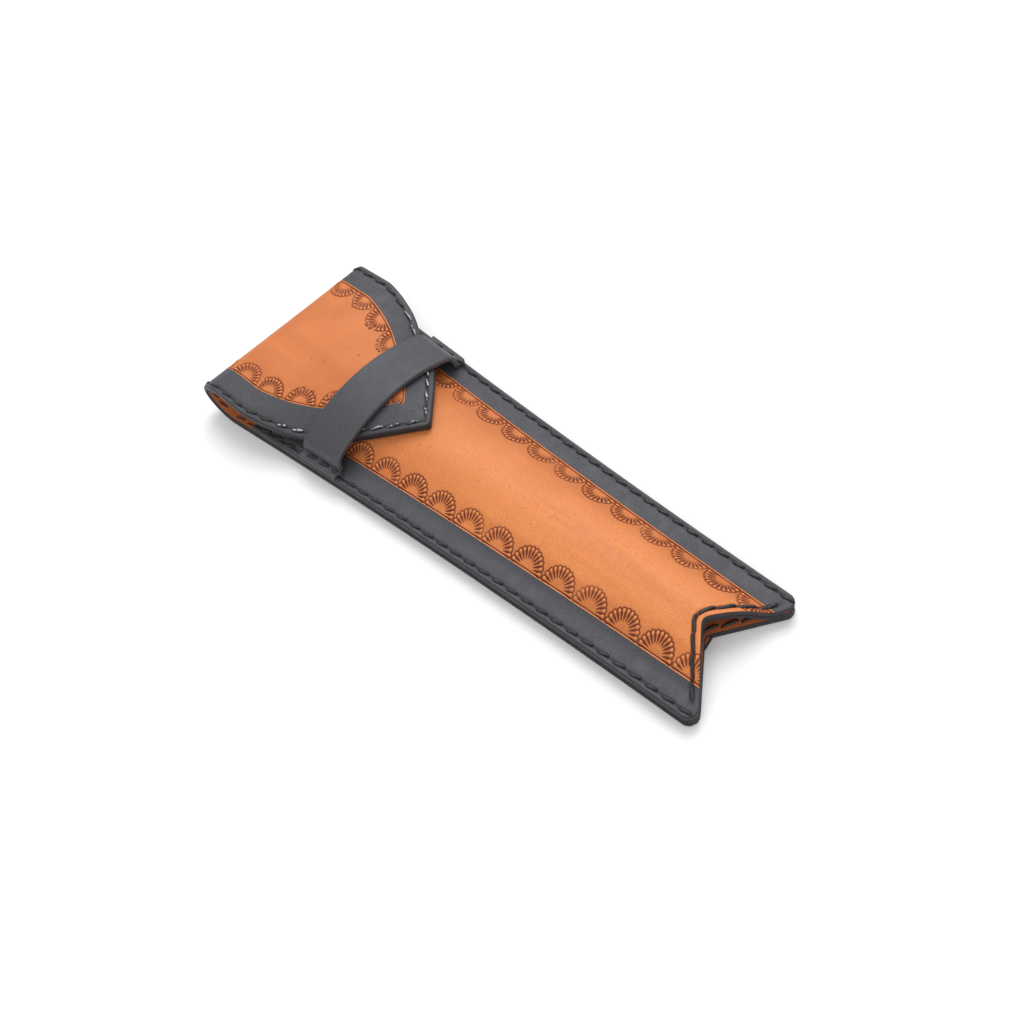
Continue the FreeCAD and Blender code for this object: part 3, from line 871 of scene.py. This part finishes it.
def flap_leather():
    """The outer leather of the flap, stamped round a tan field with a softly rounded point."""
    x, y = flap_grid(FINE)
    gap, along = flap_edge(x, y)
    border = border_at(y, FLAP_BORDER)
    other_arm = ARM_R - np.hypot(x - ARM_AT[0], np.abs(y) + ARM_AT[1])
    field = gap - POINT_SOFT * np.log1p(np.exp((gap - other_arm) / POINT_SOFT))
    depth = rows_of_shells(FLAP_ROWS, along, field - border, y)
    z = flap_z(x, y, PANEL) - tooling(gap, depth, field, border)
    values = paint(field - border, gap, depth, gap)
    under = flap_z(x, y, LINING + GLUE)
    wide = y + spread(x, y, flap_half(x))
    made = closed_sheet("flap_leather", stack(x, wide, z), stack(x, wide, under), values, TOOLED)
    finish_piece(made, "flap", "tooled_leather", "flap_panel")


def flap_lining():
    """The lining of the flap, which is its underside."""
    x, y = flap_grid(COARSE)
    gap, _ = flap_edge(x, y)
    values = paint(gap, gap, 0 * gap)
    y = drawn_in(y, gap)
    z = flap_z(x, y, 0) + round_over(gap, LINING_ROUND)
    over = flap_z(x, y, LINING)
    wide = y + spread(x, y, flap_half(x))
    made = closed_sheet("lining_flap", stack(x, wide, z), stack(x, wide, over), values, LINED, True, 1)
    finish_piece(made, "flap", "lining_leather", "flap_lining")


FOLD_PIECES = 4
FOLD_STAMPS = 13.8


def bend_piece(piece):
    """Bake the placement of a piece of the fold into its mesh.
    """

    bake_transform(piece)


def fold_angles(first, last, fine):
    """Angles over one piece of the fold, with a close row at each end."""
    count = max(FOLD_LEAST_ROWS, round((last - first) * FOLD_RADIUS / fine))
    tight = TIGHT / FOLD_RADIUS
    inner = np.linspace(first + tight, last - tight, count + 1)
    return np.concatenate([[first], inner, [last]])[:, None]


def fold_point(radius, angle, y):
    """Points of the bend, which leans, and which spreads at +Y towards the flap."""
    lean = (FOLD_SKEW * y - FOLD_LEAN) * np.sin(angle)
    wide = y + spread(FOLD_X, y, HEAD_HALF, smooth(0, math.pi, angle))
    return stack(FOLD_X - radius * np.sin(angle) + lean, wide, FOLD_RADIUS - radius * np.cos(angle))


def stamped_fold(angle, y):
    """Face, back and painted values of the outer leather of the bend."""
    gap = HEAD_HALF - np.abs(y) + 0 * angle
    border = border_at(y, BORDER + (FLAP_BORDER - BORDER) * smooth(0, math.pi, angle))
    along = (angle - math.pi) * FOLD_RADIUS + 0 * gap
    depth = rows_of_shells(FLAP_ROWS, along, gap - border, y) * (along > -FOLD_STAMPS)
    face = fold_point(FOLD_RADIUS - tooling(gap, depth, gap, border), angle, y)
    back = fold_point(FOLD_RADIUS - OUTER + 0 * gap, angle, y)
    return face, back, paint(gap - border, gap, depth, gap)


def lined_fold(angle, y):
    """Face, back and painted values of the lining of the bend."""
    gap = HEAD_HALF - np.abs(y) + 0 * angle
    drawn = y * (1 - LINING_INSET / HEAD_HALF)
    face = fold_point(FOLD_RADIUS - PANEL + round_over(gap, LINING_ROUND), angle, drawn)
    back = fold_point(FOLD_RADIUS - OUTER - GLUE + 0 * gap, angle, drawn)
    return face, back, paint(gap, gap, 0 * gap)


def fold_layer(name, node, slot, material, fine, sheet, **mesh):
    """A layer of the bend between back and flap, in pieces that each cover a share of it."""
    y = across(np.array([HEAD_HALF]), FLAP_BORDER, FOLD_COLUMNS, fine)
    for i in range(FOLD_PIECES):
        first, last = math.pi * i / FOLD_PIECES, math.pi * (i + 1) / FOLD_PIECES
        face, back, values = sheet(fold_angles(first, last, fine), y)
        made = closed_sheet(f"{name}_{i + 1}", face, back, values, material, **mesh)
        bend_piece(made)
        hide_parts(node)


FOOT_POINTS = 8
TURN_POINTS = 14
CROWN_POINTS = 40


def arc_points(centre, radius, start, end, count):
    """Points of an arc in the plane across the case, as y and z."""
    angles = np.linspace(start, end, count)
    return centre + radius * np.stack([np.cos(angles), np.sin(angles)], -1)


def shoulder_between(instep, crown):
    """Centre of the keeper's shoulder, whose arc runs on from the instep's and into the crown's."""
    near = STRAP_CROWN - STRAP_SHOULDER
    far = STRAP_SHOULDER + STRAP_INSTEP
    gap = instep - crown
    length = np.linalg.norm(gap)
    along = (length**2 + near**2 - far**2) / (2 * length)
    aside = math.sqrt(near**2 - along**2)
    u = gap / length
    return crown + u * along + np.array([-u[1], u[0]]) * aside


def strap_line(x, lift):
    """Points over the keeper at x, from foot to foot, at a lift above its underside."""
    seat = BORDER_TOP + GLUE
    end = float(side_y(x)) - STRAP_END_INSET
    foot = float(side_y(x)) - STRAP_FOOT
    instep = np.array([foot, seat + STRAP_INSTEP])
    crown = np.array([0.0, FLAP_TOP + STRAP_GAP - STRAP_CROWN])
    shoulder = shoulder_between(instep, crown)
    to_shoulder = shoulder - instep
    from_crown = shoulder - crown
    wall = math.atan2(to_shoulder[1], to_shoulder[0]) % (2 * math.pi)
    brow = math.atan2(from_crown[1], from_crown[0])
    across_foot = np.linspace(end, foot, FOOT_POINTS)
    flat = np.stack([across_foot, np.full(FOOT_POINTS, seat + lift)], -1)
    low = arc_points(instep, STRAP_INSTEP - lift, -math.pi / 2, wall - 2 * math.pi, TURN_POINTS)
    high = arc_points(shoulder, STRAP_SHOULDER + lift, wall - math.pi, brow, TURN_POINTS)
    top = arc_points(crown, STRAP_CROWN + lift, brow, math.pi / 2, CROWN_POINTS)
    half = np.concatenate([flat, low[1:], high[1:], top[1:]])
    return np.concatenate([half, (half * [-1, 1])[::-1][1:]])


def keeper():
    """The keeper strap, with softly rounded cut edges."""
    ends = steps(*STRAP_EDGE_STEPS)
    rows = STRAP_HEAD_X + fine_ends(STRAP_WIDTH, ends, ends, STRAP_STEP)
    edge = np.minimum(rows - STRAP_HEAD_X, STRAP_TAIL_X - rows)
    over, under = [], []
    for x, gap in zip(rows, edge):
        drop = float(round_over(gap, STRAP_ROUND))
        over.append(np.insert(strap_line(x, STRAP - drop), 0, x, axis=1))
        under.append(np.insert(strap_line(x, 0.0), 0, x, axis=1))
    over, under = np.array(over), np.array(under)
    pale = 1 - smooth(*STRAP_PALE, edge)
    values = {"paint": np.repeat(pale[:, None], over.shape[1], 1)}
    made = closed_sheet("keeper", over, under, values, BLACK, flip=True, thin=1)
    finish_piece(made, "sleeve", "black_leather", "keeper_strap")


# Thread

THREAD_SIDES = 10
THREAD_RINGS = 13
THREAD_TURN = np.linspace(0, 2 * math.pi, THREAD_SIDES, endpoint=False)
THREAD_RISE = 0.7
THREAD_DIVE = 0.72
THREAD_TAPER = 0.35
THREAD_TAPER_FROM = 0.7
THREAD_FLAT = 0.8
TWIST_DEPTH = 0.16
TWIST_TURN = 2.6
SLANT = math.tan(math.radians(10))
# Where round the thread the pale wax and painted glint lie, and how narrow they are
WAX_AND_GLINT_TURN = 0.5
WAX_AND_GLINT_NARROW = 5


def stitch_rings(line, middle, length, radius):
    """One stitch along a line: a twisted thread that rises out of one hole and goes down the next."""
    u = np.linspace(-1, 1, THREAD_RINGS)
    at, up = line(middle + u * length / 2)
    ahead = np.gradient(at, axis=0)
    side = np.cross(up, ahead)
    side /= np.linalg.norm(side, axis=1)[:, None]
    rise = radius * (THREAD_RISE * (1 - u**4) - smooth(THREAD_DIVE, 1.0, np.abs(u)))
    twist = 1 + TWIST_DEPTH * np.cos(2 * (THREAD_TURN[None, :] - TWIST_TURN * u[:, None]))
    r = radius * twist * (1 - THREAD_TAPER * smooth(THREAD_TAPER_FROM, 1.0, np.abs(u)))[:, None]
    centre = at + up * rise[:, None] + side * (SLANT * u * length / 2)[:, None]
    sideways = side[:, None, :] * (np.cos(THREAD_TURN) * r)[..., None]
    upwards = up[:, None, :] * (THREAD_FLAT * np.sin(THREAD_TURN) * r)[..., None]
    return centre[:, None, :] + (sideways + upwards)


def sew(name, stitches, wax_and_glint_on=None):
    """One row of stitches as a mesh. A stitch is its line, its middle, its length and its radius."""
    points, faces, wax_and_glint, count = [], [], [], 0
    # Pale wax and a painted glint along the upper crest of the thread
    crest = np.maximum(np.sin(THREAD_TURN + WAX_AND_GLINT_TURN), 0) ** WAX_AND_GLINT_NARROW
    for stitch in stitches:
        rings = stitch_rings(*stitch)
        shine = 1.0 if wax_and_glint_on and wax_and_glint_on(rings[0, 0]) else 0.0
        wax_and_glint.append(np.tile(crest * shine, THREAD_RINGS))
        index = count + np.arange(THREAD_RINGS * THREAD_SIDES).reshape(THREAD_RINGS, THREAD_SIDES)
        wrapped = np.concatenate([index, index[:, :1]], axis=1)
        faces += quads(wrapped, False) + [index[0].tolist(), index[-1, ::-1].tolist()]
        points.append(rings.reshape(-1, 3))
        count += index.size
    return make_object(name, np.concatenate(points), faces, {"wax_and_glint": np.concatenate(wax_and_glint)}, WAXED)


def spaced(length, end):
    """Middles of the stitches of a row, even along it."""
    count = int((length - 2 * end) // STITCH_PITCH) + 1
    first = (length - (count - 1) * STITCH_PITCH) / 2
    return [first + i * STITCH_PITCH for i in range(count)]


def row_of(line, length, end, stitch=STITCH_LENGTH, thread=UNDER_THREAD):
    """Stitches, even along a line."""
    return [(line, d, stitch, thread) for d in spaced(length, end)]


SLOPE_STEP = 0.4


def line_on(height, plan, lift, facing=1):
    """A line that follows plan points over a surface: points and ups at distances, and its length.

    The ups point away from the leather: facing is 1 on top of it and -1 below it. The line runs on
    before its first point.
    """
    run = np.concatenate([[0], np.cumsum(np.hypot(*np.diff(plan, axis=0).T))])

    def line(d):
        x, y = np.interp(d, run, plan[:, 0]), np.interp(d, run, plan[:, 1])
        x = x + np.minimum(d, 0) * (plan[1] - plan[0])[0] / (run[1] - run[0])
        up_x = (height(x - SLOPE_STEP, y) - height(x + SLOPE_STEP, y)) / (2 * SLOPE_STEP)
        up_y = (height(x, y - SLOPE_STEP) - height(x, y + SLOPE_STEP)) / (2 * SLOPE_STEP)
        up = stack(up_x, up_y, 1.0)
        up *= facing / np.linalg.norm(up, axis=1)[:, None]
        return stack(x, y, height(x, y)) + up * lift, up

    return line, run[-1]


SIDE_POINTS = 200
ROOT_POINTS = 12
ARM_POINTS = 40
MOUTH_POINTS = 80
RIM_POINTS = 300
POINT_POINTS = 60
POINT_CLEAR = 0.3
NOTCH_REACH = math.hypot(NOTCH_DEPTH, TAIL_HALF) - NOTCH_ROW_STOP


def side_plan(s, start, end):
    """The line of a side seam, between two places along the case."""
    x = np.linspace(start, end, SIDE_POINTS)
    return np.stack([x, s * side_y(x, SEAM_INSET)], -1)


def side_row(s, name):
    """A side seam, seen on top, on the back and on the lining in front of the mouth.

    Where the keeper is sewn in, it runs over the keeper's foot.
    """
    top = side_plan(s, MOUTH_X, TAIL_X)
    low, length = line_on(level(BORDER_TOP), top, -SEAM_GROOVE)
    high, _ = line_on(level(BORDER_TOP + GLUE + STRAP), top, -STRAP_SINK)
    stitches = []
    for d in spaced(length, SIDE_ROW_END):
        on_strap = STRAP_HEAD_X < MOUTH_X + d < STRAP_TAIL_X
        stitches.append((high if on_strap else low, d, STITCH_LENGTH, THREAD))
    under, length = line_on(level(0.0), side_plan(s, FOLD_X, TAIL_X), -UNDER_SINK, -1)
    stitches += row_of(under, length, SIDE_ROW_END)
    inner, length = line_on(level(PANEL), side_plan(s, FOLD_X, MOUTH_X), 0.0)
    stitches += row_of(inner, length, FLAP_ROW_END)
    finish_piece(sew(name, stitches), "sleeve", "waxed_thread", name + "_thread")


def notch_plan(reach, inset):
    """The line of a tail row, in from the notch and round its root, from side to side."""
    lean = math.atan2(ARM_IN[1], ARM_IN[0])
    arc = np.linspace(lean, math.pi, ROOT_POINTS)
    bend = ROOT_AT + (NOTCH_RADIUS + inset) * np.stack([np.cos(arc), np.sin(arc)], -1)
    arm = bend[0] + ARM_DIR * np.linspace(reach, 0, ARM_POINTS)[:, None]
    half = np.concatenate([arm, bend[1:]])
    return np.concatenate([half, (half * [1, -1])[::-1][1:]])


def front_tail_row():
    """The row along the notch on the front, with hardly a gap between its stitches."""
    line, length = line_on(front_at(PANEL), notch_plan(NOTCH_REACH, NOTCH_INSET), -NOTCH_SINK)
    row = row_of(line, length, STITCH_PITCH / 2, STITCH_PITCH + NOTCH_OVERLAP, NOTCH_THREAD)
    finish_piece(sew("front_tail_row", row), "sleeve", "waxed_thread", "front_tail_thread")


def back_tail_row():
    """The row along the notch on the lining of the back."""
    plan = notch_plan(BACK_ROW_SHARE * NOTCH_REACH, SEAM_INSET)
    line, length = line_on(level(PANEL), plan, 0.0)
    row = row_of(line, length, STITCH_PITCH / 2, STITCH_PITCH, THREAD)
    finish_piece(sew("back_tail_row", row), "sleeve", "waxed_thread", "back_tail_thread")


def mouth_row():
    """The row along the mouth of the front, under the flap."""
    x = MOUTH_X + MOUTH_INSET
    reach = float(side_y(x)) - MARGIN
    y = np.linspace(-reach, reach, MOUTH_POINTS)
    line, length = line_on(front_at(PANEL), np.stack([0 * y + x, y], -1), -MOUTH_SINK)
    row = row_of(line, length, MOUTH_ROW_END, thread=MOUTH_THREAD)
    finish_piece(sew("mouth_row", row), "sleeve", "waxed_thread", "mouth_thread")


def flap_rim():
    """Points a seam's inset in from the edge of the flap, on the +Y side, up to the point."""
    side = np.linspace(FOLD_X, POINT_START, RIM_POINTS)
    point = np.linspace(POINT_START, POINT_END, POINT_POINTS)[1:-1]
    x = np.concatenate([side, point])
    y = flap_half(x)
    slope = np.gradient(y, x)
    size = np.hypot(1, slope)
    inner = np.stack([x + slope / size * SEAM_INSET, y - SEAM_INSET / size], -1)
    return inner[inner[:, 1] > POINT_CLEAR]


def spread_line(line):
    """A line on the flap, moved with the side that stands out."""
    def moved(d):
        at, up = line(d)
        half = np.maximum(flap_half(at[:, 0]), FLAP_TIP_RADIUS)
        at[:, 1] += spread(at[:, 0], at[:, 1], half)
        return at, up

    return moved


def flap_row():
    """The row round the flap, outside and on its lining, with pale wax and a painted glint from the
    cheeks to the point.
    """
    row = []
    for s in (1, -1):
        line, length = line_on(flap_at(PANEL), flap_rim() * [1, s], -SEAM_GROOVE)
        under, _ = line_on(flap_at(0.0), flap_rim() * [1, s], 0.0, -1)
        for d in spaced(length, FLAP_ROW_END):
            row.append((spread_line(line), d, STITCH_LENGTH, THREAD))
            row.append((spread_line(under), d, STITCH_LENGTH, UNDER_THREAD))
    made = sew("flap_row", row, lambda at: at[0] > CHEEK_X)
    finish_piece(made, "flap", "waxed_thread", "flap_thread")


def fold_line(s, radius, facing):
    """The seam round one end of the bend, outside or inside, by distance down from its top."""
    def line(d):
        angle = math.pi - d / FOLD_RADIUS
        up = stack(-np.sin(angle), 0.0, -np.cos(angle))
        return fold_point(radius, angle, s * (HEAD_HALF - SEAM_INSET)), up * facing

    return line


FOLD_STITCHES = 4


def fold_rows():
    """Stitches round both ends of the bend, outside and inside, one piece for each place down from the
    top.
    """
    for i in range(FOLD_STITCHES):
        d = STITCH_PITCH * (i + 0.5)
        row = []
        for s in (1, -1):
            row.append((fold_line(s, FOLD_RADIUS - SEAM_GROOVE, 1), d, STITCH_LENGTH, THREAD))
            row.append((fold_line(s, FOLD_RADIUS - PANEL, -1), d, STITCH_LENGTH, UNDER_THREAD))
        made = sew(f"fold_row_{i + 1}", row)
        bend_piece(made)
        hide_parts("fold_thread")


front_leather()
back_leather()
case_lining("lining_front", "front_lining", MOUTH_X, front_at(0), front_at(LINING))
case_lining("lining_back", "back_lining", FOLD_X, level(OUTER + GLUE), level(PANEL))
flap_leather()
flap_lining()
OUTSIDE = {"flip": True, "thin": FOLD_THIN}
fold_layer("fold_leather", "fold_panel", "tooled_leather", TOOLED, FINE, stamped_fold, **OUTSIDE)
fold_layer("lining_fold", "fold_lining", "lining_leather", LINED, COARSE, lined_fold, thin=1)
keeper()
side_row(1, "left_seam")
side_row(-1, "right_seam")
front_tail_row()
back_tail_row()
mouth_row()
flap_row()
fold_rows()


# Stage, light and camera

FLOOR_HALF = 3.0
WORLD_STRENGTH = 0.76
KEY_LIGHT = {"place": (-0.30, 0.48, 0.90), "size": 0.7, "power": 7.2}
FILL_LIGHT = {"place": (0.5, -0.6, 1.0), "size": 0.9, "power": 3.0}


def add_floor():
    """A pale floor to lie on, which is not part of the case."""
    corners = [(-1, -1), (1, -1), (1, 1), (-1, 1)]
    mesh = bpy.data.meshes.new("floor")
    mesh.from_pydata([(FLOOR_HALF * x, FLOOR_HALF * y, 0.0) for x, y in corners], [], [(0, 1, 2, 3)])
    mesh.materials.append(pale_floor())
    floor = bpy.data.objects.new("floor", mesh)
    bpy.context.scene.collection.objects.link(floor)


def white_room():
    """Even white light from all round."""
    world = bpy.data.worlds.new("studio")
    bpy.context.scene.world = world
    world.use_nodes = True
    background = world.node_tree.nodes["Background"]
    background.inputs["Color"].default_value = (1.0, 1.0, 1.0, 1)
    background.inputs["Strength"].default_value = WORLD_STRENGTH


def softbox(name, place, size, power):
    """A square light that points at the part."""
    lamp = bpy.data.lights.new(name, "AREA")
    lamp.shape = "SQUARE"
    lamp.size = size
    lamp.energy = power
    made = bpy.data.objects.new(name, lamp)
    made.location = place
    made.rotation_euler = (-Vector(place)).to_track_quat("-Z", "Y").to_euler()
    bpy.context.scene.collection.objects.link(made)


# The photograph's camera: its place, its turn from the part's axes as a vector in radians, its lens
CAMERA_AT = (174.63, -102.07, 266.62)
CAMERA_TURN = (2.4376, 0.9055, -0.5224)
FOCAL_PIXELS = 1274.5
PHOTO_WIDTH = 1024
SENSOR_WIDTH = 36.0
NEAREST = 0.01


def photo_camera():
    """A camera at the photograph's view. The turn's rows are its right, down and forward axes."""
    turn = Vector(CAMERA_TURN)
    seen = Matrix.Rotation(turn.length, 3, turn.normalized())
    axes = Matrix((seen[0], -seen[1], -seen[2])).transposed()
    data = bpy.data.cameras.new("camera")
    data.sensor_width = SENSOR_WIDTH
    data.lens = FOCAL_PIXELS / PHOTO_WIDTH * SENSOR_WIDTH
    data.clip_start = NEAREST
    made = bpy.data.objects.new("camera", data)
    made.matrix_world = Matrix.Translation(Vector(CAMERA_AT) * MM) @ axes.to_4x4()
    bpy.context.scene.collection.objects.link(made)
    bpy.context.scene.camera = made


add_floor()
white_room()
softbox("key", **KEY_LIGHT)
softbox("fill", **FILL_LIGHT)
photo_camera()
bpy.context.scene.view_settings.view_transform = "Standard"
